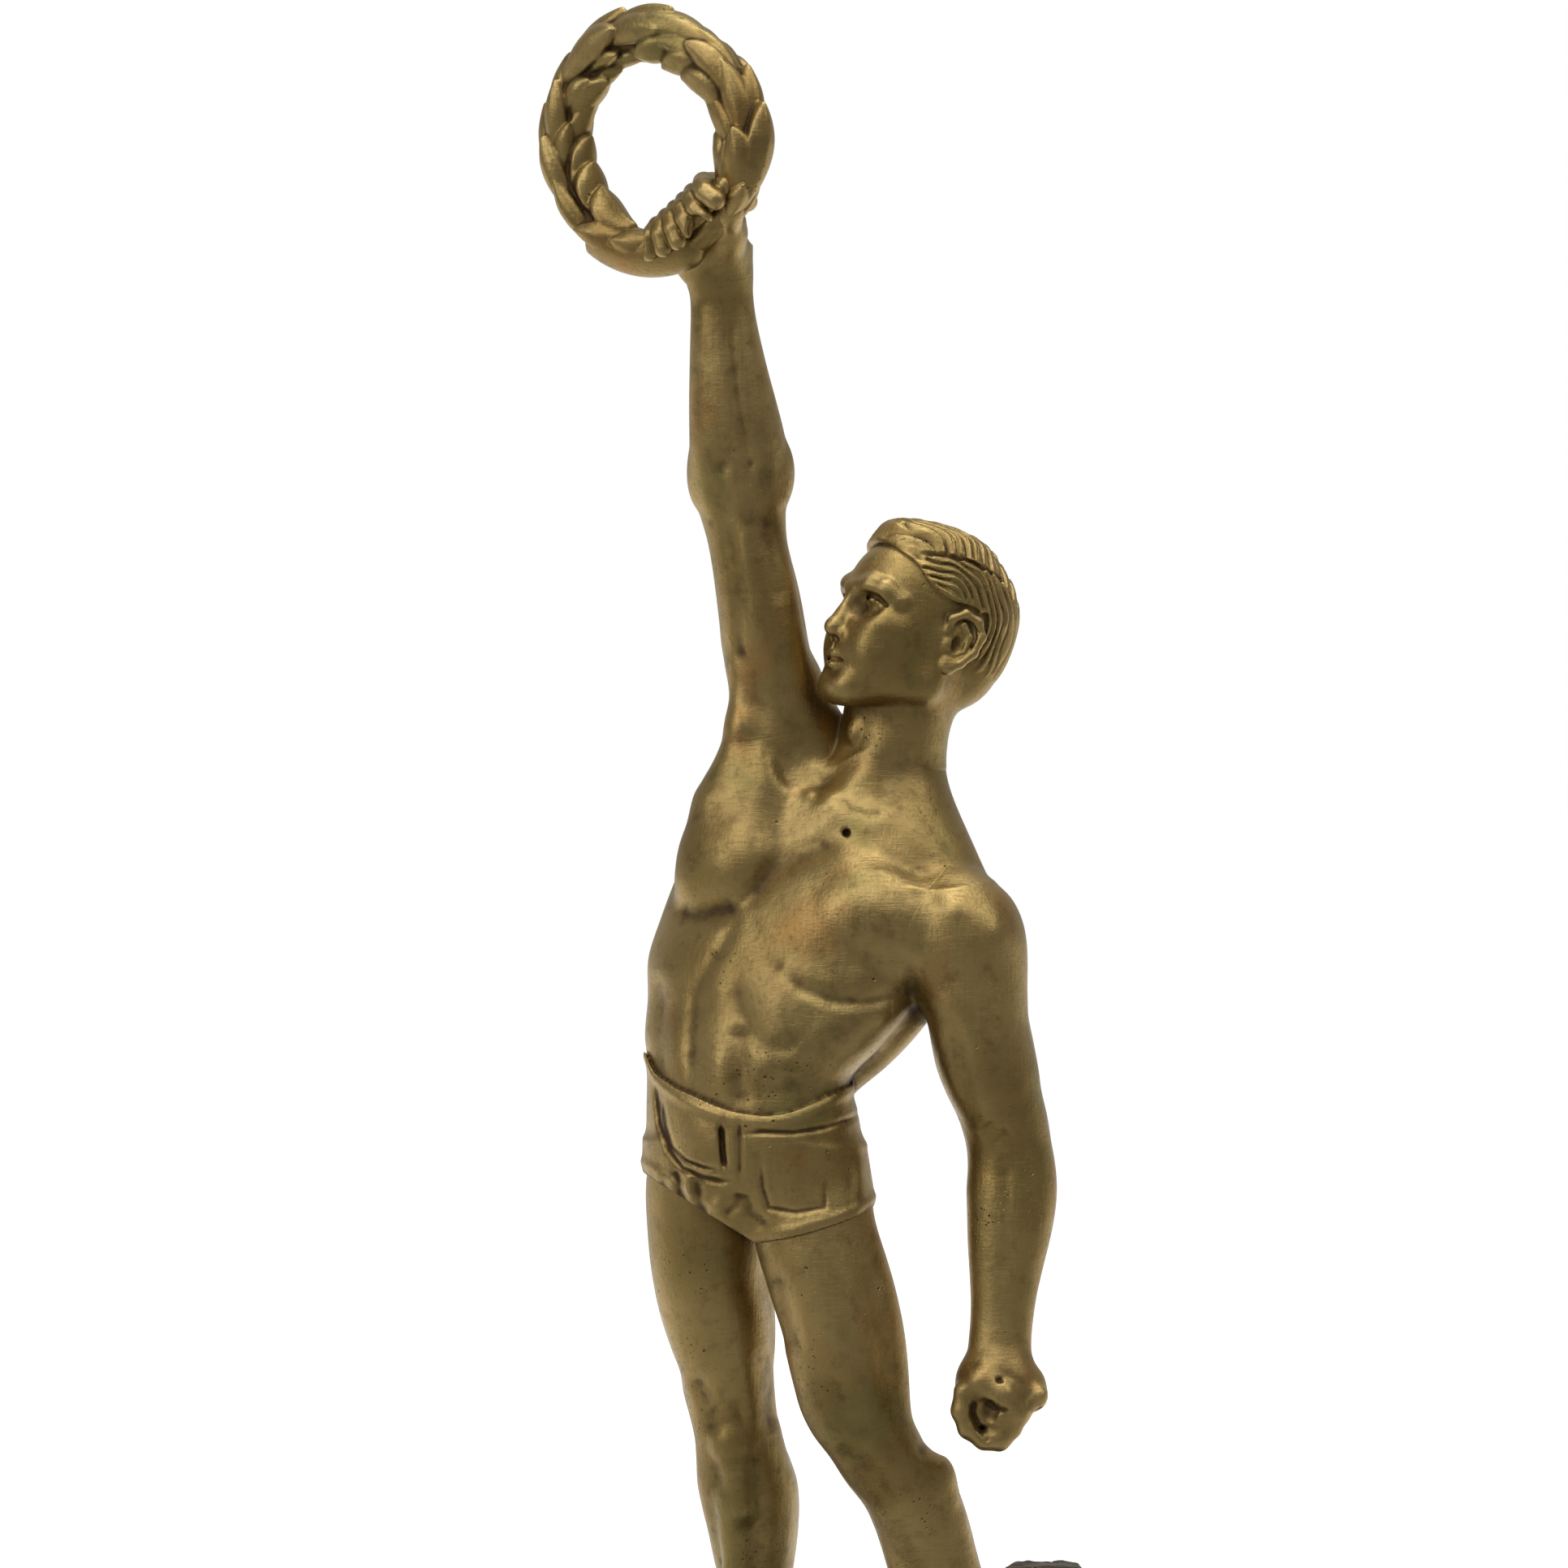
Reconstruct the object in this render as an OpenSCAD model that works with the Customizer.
// Figure trophy: a cast brass athlete who holds up a laurel wreath, on a stepped stone base.
// The figure is cast in sections that meet at flat joints, each with a steel dowel across it.
// The athlete's pose is written for a figure 292 mm tall, and scales with figure_h.

/* [Figure] */
// Height of the athlete from sole to crown
figure_h = 292; // [280:1:304]
// Radius of the dowels inside the casting joints
dowel_r = 1.8; // [1.5:0.1:2]

/* [Wreath] */
// Radius of the ring's centre line
ring_r = 24; // [22:0.5:26]
// Radius of the ring's bare stem
stem_r = 4.2; // [3.6:0.2:4.6]
// Leaves along each side of the ring
leaf_rows = 16; // [14:1:20]

/* [Base] */
// Width of the lower slab
slab_w = 160; // [154:1:180]
// Depth of the lower slab
slab_d = 116; // [104:1:130]
// Height of the lower slab
slab_h = 14; // [12:1:20]
// Height of the upper block
block_h = 30; // [26:1:36]
// Step between the slab's edge and the block's
step = 10; // [8:1:12]
// Chamfer along the stone's edges
chamfer = 1.6; // [1:0.2:2.4]
// Thickness of the cast ground plate
plate_t = 4; // [3:0.5:6]
// Thickness of the felt pad
felt_t = 1.5; // [1:0.5:3]

/* [Fasteners] */
// Radius of the threaded studs and the bolt
stud_r = 2.5; // [2:0.5:3]
// Radius of the recesses for nuts and washers
recess_r = 8; // [7.5:0.5:9]
// Depth of those recesses
recess_h = 8; // [7:0.5:9]

/* [Nameplate] */
// Width of the blank nameplate
name_w = 64; // [50:1:80]
// Height of the blank nameplate
name_h = 16; // [14:1:18]

/* [Hidden] */
brass = "darkgoldenrod";
k = figure_h / 292;
running = 0.05;
sole_z = felt_t + slab_h + block_h + plate_t;
block_w = slab_w - 2 * step;
block_d = slab_d - 2 * step;
name_t = 1;
pin_r = 0.8;
washer_t = 1;
nut_h = 4;
nut_r = 4.6;
washer_r = nut_r + 1.6;
stud_end = 1.5;
bore_play = 0.5;
dowel_l = 16;
// How far the pins' centres lie inside the nameplate's edges, and their length
pin_inset = 3;
pin_l = 7;
// How deep the studs reach into the feet, and the bolt into the rock
stud_depth = 9;
bolt_depth = 14;
bore_end = 2;
// Size of the blocks that trim the figure at the ground
far = 200;
// Reach of a cut along a joint's way, and across it where nothing else is near
cut_l = 60;

// Limb stations: x, y, z of the centre and its radius, from the body outward
right_arm_line = [[-15, 12, 226, 12], [-21.6, 16, 238, 11], [-24, 14, 252, 10.2], [-27, 11, 268, 9.2],
                  [-30, 8, 288, 9.3], [-31.4, 6, 304, 10.6], [-33.6, 3, 327, 8.2], [-36, 0, 349, 6.2]];
left_arm_line = [[4, -2, 208, 14], [17.5, -13, 200, 12.4], [20, -13, 186, 11.8], [24, -12, 166, 10.8],
                 [27.8, -11, 154, 9.4], [29, -13, 143, 9.6], [27.6, -17, 123, 7.3], [26, -20, 108, 6.8]];
right_leg_line = [[-39, 7, 146, 13], [-39.6, 8.5, 122, 12.2], [-35, 11.5, 106, 11], [-32, 14, 90, 9.6],
                  [-30, 15, 79, 9.5], [-28.6, 17, 67, 10], [-28, 18.5, 48, 7.2], [-28.3, 19.8, 14, 5.2]];
left_leg_line = [[-16.6, -9, 146, 15], [-12, -10, 120, 14], [-7, -11, 100, 12.2], [-1, -11.5, 86, 11.4],
                 [4.6, -11, 78, 11], [9, -9.5, 68, 9.9], [14.5, -8.5, 55, 7.6], [31, -8, 14, 5.2]];
// Torso stations: centre, then its half width, half depth, half height and yaw
torso_line = [[-28, 1, 136, 20, 15, 7, -38], [-28, 0, 148, 25, 18.5, 9, -38], [-29, -0.5, 166, 23, 17, 8, -36],
              [-24, 2, 182, 26, 19, 9, -33], [-13.5, 4, 203, 31, 20, 10, -28], [-7, 8, 217, 25, 15, 9, -24],
              [2, 9.5, 229, 12, 11, 7, 0], [4.5, 8.5, 244, 10.4, 10.8, 6, 0]];
// Casting joints: a point of the flat joint, then the way out of the torso
neck_joint = [[2.6, 9, 236], [0.12, -0.05, 1]];
right_shoulder_joint = [[-22.4, 15.4, 244], [-0.16, -0.17, 1]];
left_shoulder_joint = [[12, -10, 202], [0.86, -0.4, -0.3]];
right_hip_joint = [[-40, 6, 137], [-0.52, -0.09, -0.85]];
left_hip_joint = [[-15.3, -9, 135.2], [0.27, 0.01, -0.96]];
wrist_joint = [[-35.4, 0.7, 343], [-0.1, -0.13, 1]];
// The wreath's centre, and the yaw of its ring
ring_c = [-49.9, -3, 372.7];
ring_yaw = -34;
// Where the hand holds the ring, as an angle round it
grip = -42;
// Feet: heel, ball and toe, on the ground
right_foot = [[-23, 27, 5], [-42, 3, 4.2], [-48, -4.5, 3]];
left_foot = [[24, 0, 5], [46, -21, 4.2], [53, -27.5, 3]];
right_foot_stud_xy = [-30.5, 17];
left_foot_stud_xy = [33, -9.5];
rock_xy = [41, 25];
rock_h = 58;
// Corners of the ground plate's outline
ground_corners = [[-46, -8], [-24, 30], [30, 38], [56, 26], [54, -30], [20, -30]];
ground_round = 10;
// Lumps of the rock: the shift along x, the height of the centre, and three radii
rock_lumps = [[0, 0, 23, 17, 8], [-3, rock_h / 2, 21, 15, 14], [-4, rock_h - 8, 16, 11, 8]];
// Fingers round the ring: their number, their pitch in degrees, and their radius
fingers = 4;
finger_pitch = 9;
finger_r = 2.1;
finger_loop = 5;
// Part of the ring, either side of the grip, that has no leaves
bare_angle = 26;
leaf_spread = 75;
leaf_turn = 12;

// Turns +Z to the direction d
module along(d) rotate([0, acos(d.z / norm(d)), atan2(d.y, d.x)]) children();

module at_sole() translate([0, 0, sole_z]) scale(k) children();

module station(s) translate([s[0], s[1], s[2]]) sphere(r = s[3], $fn = 18);

module torso_station(s)
    translate([s[0], s[1], s[2]]) rotate(s[6]) scale([s[3], s[4], s[5]])
        sphere(r = 1, $fn = 24);

// A limb: its stations joined in pairs
module limb(line) for (i = [0:len(line) - 2]) hull() {
    station(line[i]);
    station(line[i + 1]);
}

// Everything on the outer side of a joint, as far as r across and h along
module outside(joint, r, h) translate(joint[0]) along(joint[1]) cylinder(r = r, h = h, $fn = 36);

module inside(joint, r, h) translate(joint[0]) along(-joint[1]) cylinder(r = r, h = h, $fn = 36);

module dowel_at(joint, clearance) translate(joint[0]) along(joint[1])
    cylinder(r = dowel_r / k + clearance, h = dowel_l, center = true, $fn = 24);

module dowel(joint) color("silver") at_sole() dowel_at(joint, 0);

module torso() color(brass) at_sole() difference() {
    union() {
        for (i = [0:len(torso_line) - 2]) hull() {
            torso_station(torso_line[i]);
            torso_station(torso_line[i + 1]);
        }
        for (line = [right_arm_line, left_arm_line, right_leg_line, left_leg_line]) limb([line[0], line[1]]);
        limb([right_arm_line[1], right_arm_line[2]]);
        // Slope from the neck to each shoulder
        hull() {
            station([-2, 11, 226, 9]);
            station([-19, 17, 234, 9]);
        }
        hull() {
            station([3, 8, 228, 9]);
            station([16, -8, 207, 9]);
        }
    }
    outside(neck_joint, 15, 40);
    outside(right_shoulder_joint, 20, cut_l);
    outside(left_shoulder_joint, 30, 40);
    outside(right_hip_joint, 28, cut_l);
    outside(left_hip_joint, 24, cut_l);
    for (j = [neck_joint, right_shoulder_joint, left_shoulder_joint, right_hip_joint, left_hip_joint])
        dowel_at(j, running);
}

// The head's own frame: the face looks along -X, and tips up a little
module at_head() translate([11, 8, 268]) rotate([0, 0, 28]) rotate([0, 12, 0]) children();

// Two ellipsoids, each with its centre and radii, blended into one part of the head
module skull_part(c1, r1, c2, r2) hull() {
    translate(c1) scale(r1) sphere(r = 1, $fn = 20);
    translate(c2) scale(r2) sphere(r = 1, $fn = 20);
}

module head() color(brass) at_sole() difference() {
    union() {
        limb([[2, 9.5, 229, 10.6], [4, 8.5, 242, 10], [6.5, 8, 254, 10]]);
        at_head() {
            skull_part([4, 0, 5], [17.5, 14.8, 16], [9, 0, 2], [12, 13, 13]);
            skull_part([-3, 0, 6], [15, 13, 13], [6, 0, 3], [14, 13, 12]);
            skull_part([-9, 0, -7], [9, 9, 9], [2, 0, -4], [12, 12.5, 9]);
            skull_part([-12, 0, -15], [5, 5.5, 4], [-3, 0, -10], [8, 10, 6]);
            for (side = [-1, 1])
                skull_part([4, side * 14, -2], [2.5, 1.5, 4.5], [3, side * 13, -5], [2, 1.5, 3]);
            skull_part([-16, 0, -3], [3, 2.5, 4], [-13, 0, 0], [3, 3, 5]);
        }
    }
    inside(neck_joint, 30, 40);
    dowel_at(neck_joint, running);
}

module right_arm() color(brass) at_sole() difference() {
    limb(right_arm_line);
    inside(right_shoulder_joint, cut_l, cut_l);
    outside(wrist_joint, 20, 30);
    dowel_at(right_shoulder_joint, running);
    dowel_at(wrist_joint, running);
}

// Places what is drawn in the ring's own plane, with the ring's axis along +Z
module in_ring() translate(ring_c) rotate(ring_yaw) rotate([90, 0, 0]) children();

module ring(r) in_ring() rotate_extrude($fn = 48) translate([ring_r / k, 0]) circle(r = r, $fn = 16);

module right_hand() color(brass) at_sole() difference() {
    union() {
        // Wrist and palm
        limb([[-35.4, 0.7, 340, 6.4], [-37, -0.5, 350, 6.8], [-38, 1.5, 358, 7]]);
        // Fingers that close over the stem
        for (i = [0:fingers - 1]) in_ring() rotate(grip - 12 + finger_pitch * i)
            translate([ring_r / k, 0, 0]) rotate([90, 0, 0]) rotate_extrude($fn = 24)
                translate([finger_loop, 0]) circle(r = finger_r, $fn = 14);
    }
    inside(wrist_joint, 20, 30);
    ring(stem_r / k + running);
    dowel_at(wrist_joint, running);
}

module left_arm() color(brass) at_sole() difference() {
    union() {
        limb([for (i = [1:7]) left_arm_line[i]]);
        // Closed fist
        hull() {
            station([26, -20, 108, 6.8]);
            station([24, -21, 98, 8]);
            station([29, -24, 98, 7.5]);
        }
        hull() {
            station([24.5, -21, 94, 8.6]);
            station([29, -25, 95, 8]);
        }
    }
    inside(left_shoulder_joint, cut_l, cut_l);
    dowel_at(left_shoulder_joint, running);
}

module foot(ankle, f) {
    hull() {
        station(ankle);
        station([f[0].x, f[0].y, 5.5, 5.5]);
        station([(f[0].x + f[1].x) / 2, (f[0].y + f[1].y) / 2, 7, 6.5]);
    }
    hull() {
        station([(f[0].x + f[1].x) / 2, (f[0].y + f[1].y) / 2, 6, 6]);
        translate(f[1]) scale([8, 8, 5]) sphere(r = 1, $fn = 20);
    }
    hull() {
        translate(f[1]) scale([8, 8, 4.6]) sphere(r = 1, $fn = 20);
        translate(f[2]) scale([6, 6, 3]) sphere(r = 1, $fn = 20);
    }
}

module leg(line, f, joint, stud_xy) difference() {
    union() {
        limb(line);
        foot(line[7], f);
    }
    inside(joint, 50, 50);
    translate([-far / 2, -far / 2, -far]) cube(far);
    dowel_at(joint, running);
    translate([stud_xy.x, stud_xy.y, -1])
        cylinder(r = stud_r / k + running, h = stud_depth + bore_end, $fn = 24);
}

module right_leg() color(brass) at_sole()
    leg(right_leg_line, right_foot, right_hip_joint, right_foot_stud_xy);

module left_leg() color(brass) at_sole()
    leg(left_leg_line, left_foot, left_hip_joint, left_foot_stud_xy);

// One pointed leaf that lies back along +Y on the stem
module leaf() hull() {
    translate([0, -5, 0]) cube([1.5, 1, 1.5], center = true);
    translate([0, 0.5, 0.6]) cube([5, 2.5, 1.4], center = true);
    translate([0, 6, 1.8]) cube([0.6, 0.6, 0.6], center = true);
}

module wreath() color(brass) at_sole() {
    ring(stem_r / k);
    step_a = 360 / leaf_rows;
    for (i = [0:leaf_rows - 1], side = [-1, 0, 1, 2]) {
        a = i * step_a + (side == 0 || side == 2 ? step_a / 2 : 0);
        away = abs((a - grip + 540) % 360 - 180);
        if (away > bare_angle) in_ring() rotate(a) translate([ring_r / k, 0, 0])
            rotate([0, side * leaf_spread + leaf_turn, 0]) translate([0, 0, stem_r / k]) leaf();
    }
}

// Outline of the ground plate, under both feet and the rock
module ground_outline() hull() for (p = ground_corners) translate(k * p) circle(r = ground_round);

module ground_plate() color("saddlebrown") difference() {
    translate([0, 0, sole_z - plate_t]) linear_extrude(plate_t) ground_outline();
    for (p = [right_foot_stud_xy, left_foot_stud_xy, rock_xy])
        translate([k * p.x, k * p.y, 0]) cylinder(r = stud_r + running, h = sole_z + 1);
}

module rock() color("saddlebrown") at_sole() difference() {
    hull() for (lump = rock_lumps)
        translate([rock_xy.x + lump[0], rock_xy.y, lump[1]]) scale([lump[2], lump[3], lump[4]])
            sphere(r = 1, $fn = 14);
    translate([-far / 2, -far / 2, -far]) cube(far);
    translate([rock_xy.x, rock_xy.y, -1])
        cylinder(r = stud_r / k + running, h = bolt_depth + bore_end, $fn = 24);
}

// A stud from inside a foot down to its recess
module stud(xy) {
    foot_z = felt_t + recess_h - washer_t - nut_h - stud_end;
    color("silver") translate([k * xy.x, k * xy.y, foot_z])
        cylinder(r = stud_r, h = sole_z + stud_depth * k - foot_z);
}

module washer(xy) color("silver")
    translate([k * xy.x, k * xy.y, felt_t + recess_h - washer_t]) difference() {
        cylinder(r = washer_r, h = washer_t);
        translate([0, 0, -1]) cylinder(r = stud_r + 0.15, h = washer_t + 2);
    }

module nut(xy) color("silver")
    translate([k * xy.x, k * xy.y, felt_t + recess_h - washer_t - nut_h]) difference() {
        cylinder(r = nut_r, h = nut_h, $fn = 6);
        translate([0, 0, -1]) cylinder(r = stud_r + 0.02, h = nut_h + 2);
    }

// Hexagon-headed bolt that pulls the rock down on the base
module rock_bolt() {
    head_z = felt_t + recess_h - washer_t;
    color("silver") translate([k * rock_xy.x, k * rock_xy.y, head_z]) {
        translate([0, 0, -nut_h]) cylinder(r = nut_r, h = nut_h, $fn = 6);
        translate([0, 0, -0.5]) cylinder(r = stud_r, h = sole_z + bolt_depth * k - head_z + 0.5);
    }
}

// A stone slab with chamfered edges
module stone(w, d, h) hull() {
    translate([-w / 2, -d / 2, chamfer]) cube([w, d, h - 2 * chamfer]);
    translate([chamfer - w / 2, chamfer - d / 2, 0]) cube([w - 2 * chamfer, d - 2 * chamfer, h]);
}

// Puts what is drawn along +Z at each of the nameplate's pins, from the plate's face inward
module at_pins() for (x = [-1, 1], z = [-1, 1])
    translate([x * (name_w / 2 - pin_inset), -block_d / 2 - name_t, 0])
        translate([0, 0, felt_t + slab_h + block_h / 2 + z * (name_h / 2 - pin_inset)])
            rotate([-90, 0, 0]) children();

module base_block() color("dimgray") difference() {
    translate([0, 0, felt_t + slab_h]) stone(block_w, block_d, block_h);
    for (p = [right_foot_stud_xy, left_foot_stud_xy, rock_xy])
        translate([k * p.x, k * p.y, 0]) cylinder(r = stud_r + bore_play, h = sole_z);
    at_pins() cylinder(r = pin_r + running, h = pin_l + 1);
}

module base_slab() color("dimgray") difference() {
    translate([0, 0, felt_t]) stone(slab_w, slab_d, slab_h);
    for (p = [right_foot_stud_xy, left_foot_stud_xy, rock_xy]) translate([k * p.x, k * p.y, 0]) {
        cylinder(r = stud_r + bore_play, h = sole_z);
        cylinder(r = recess_r, h = felt_t + recess_h);
    }
}

module felt_pad() color("darkgreen") linear_extrude(felt_t)
    square([slab_w - 2 * chamfer, slab_d - 2 * chamfer], center = true);

module nameplate() color("gold") difference() {
    translate([-name_w / 2, -block_d / 2 - name_t, felt_t + slab_h + (block_h - name_h) / 2])
        cube([name_w, name_t, name_h]);
    at_pins() translate([0, 0, -1]) cylinder(r = pin_r + running, h = name_t + 2);
}

// Round-headed escutcheon pins through the nameplate's corners
module nameplate_pins() color("gold") at_pins() {
    cylinder(r = pin_r, h = pin_l);
    intersection() {
        sphere(r = pin_r * 2);
        translate([-3, -3, -3]) cube([6, 6, 3]);
    }
}

torso();
head();
right_arm();
right_hand();
left_arm();
right_leg();
left_leg();
wreath();
dowel(neck_joint);  // neck_dowel
dowel(right_shoulder_joint);  // right_shoulder_dowel
dowel(left_shoulder_joint);  // left_shoulder_dowel
dowel(wrist_joint);  // wrist_dowel
dowel(right_hip_joint);  // right_hip_dowel
dowel(left_hip_joint);  // left_hip_dowel
ground_plate();
rock();
stud(right_foot_stud_xy);  // right_foot_stud
stud(left_foot_stud_xy);  // left_foot_stud
rock_bolt();
washer(right_foot_stud_xy);  // right_foot_washer
washer(left_foot_stud_xy);  // left_foot_washer
washer(rock_xy);  // rock_washer
nut(right_foot_stud_xy);  // right_foot_nut
nut(left_foot_stud_xy);  // left_foot_nut
base_block();
base_slab();
felt_pad();
nameplate();
nameplate_pins();
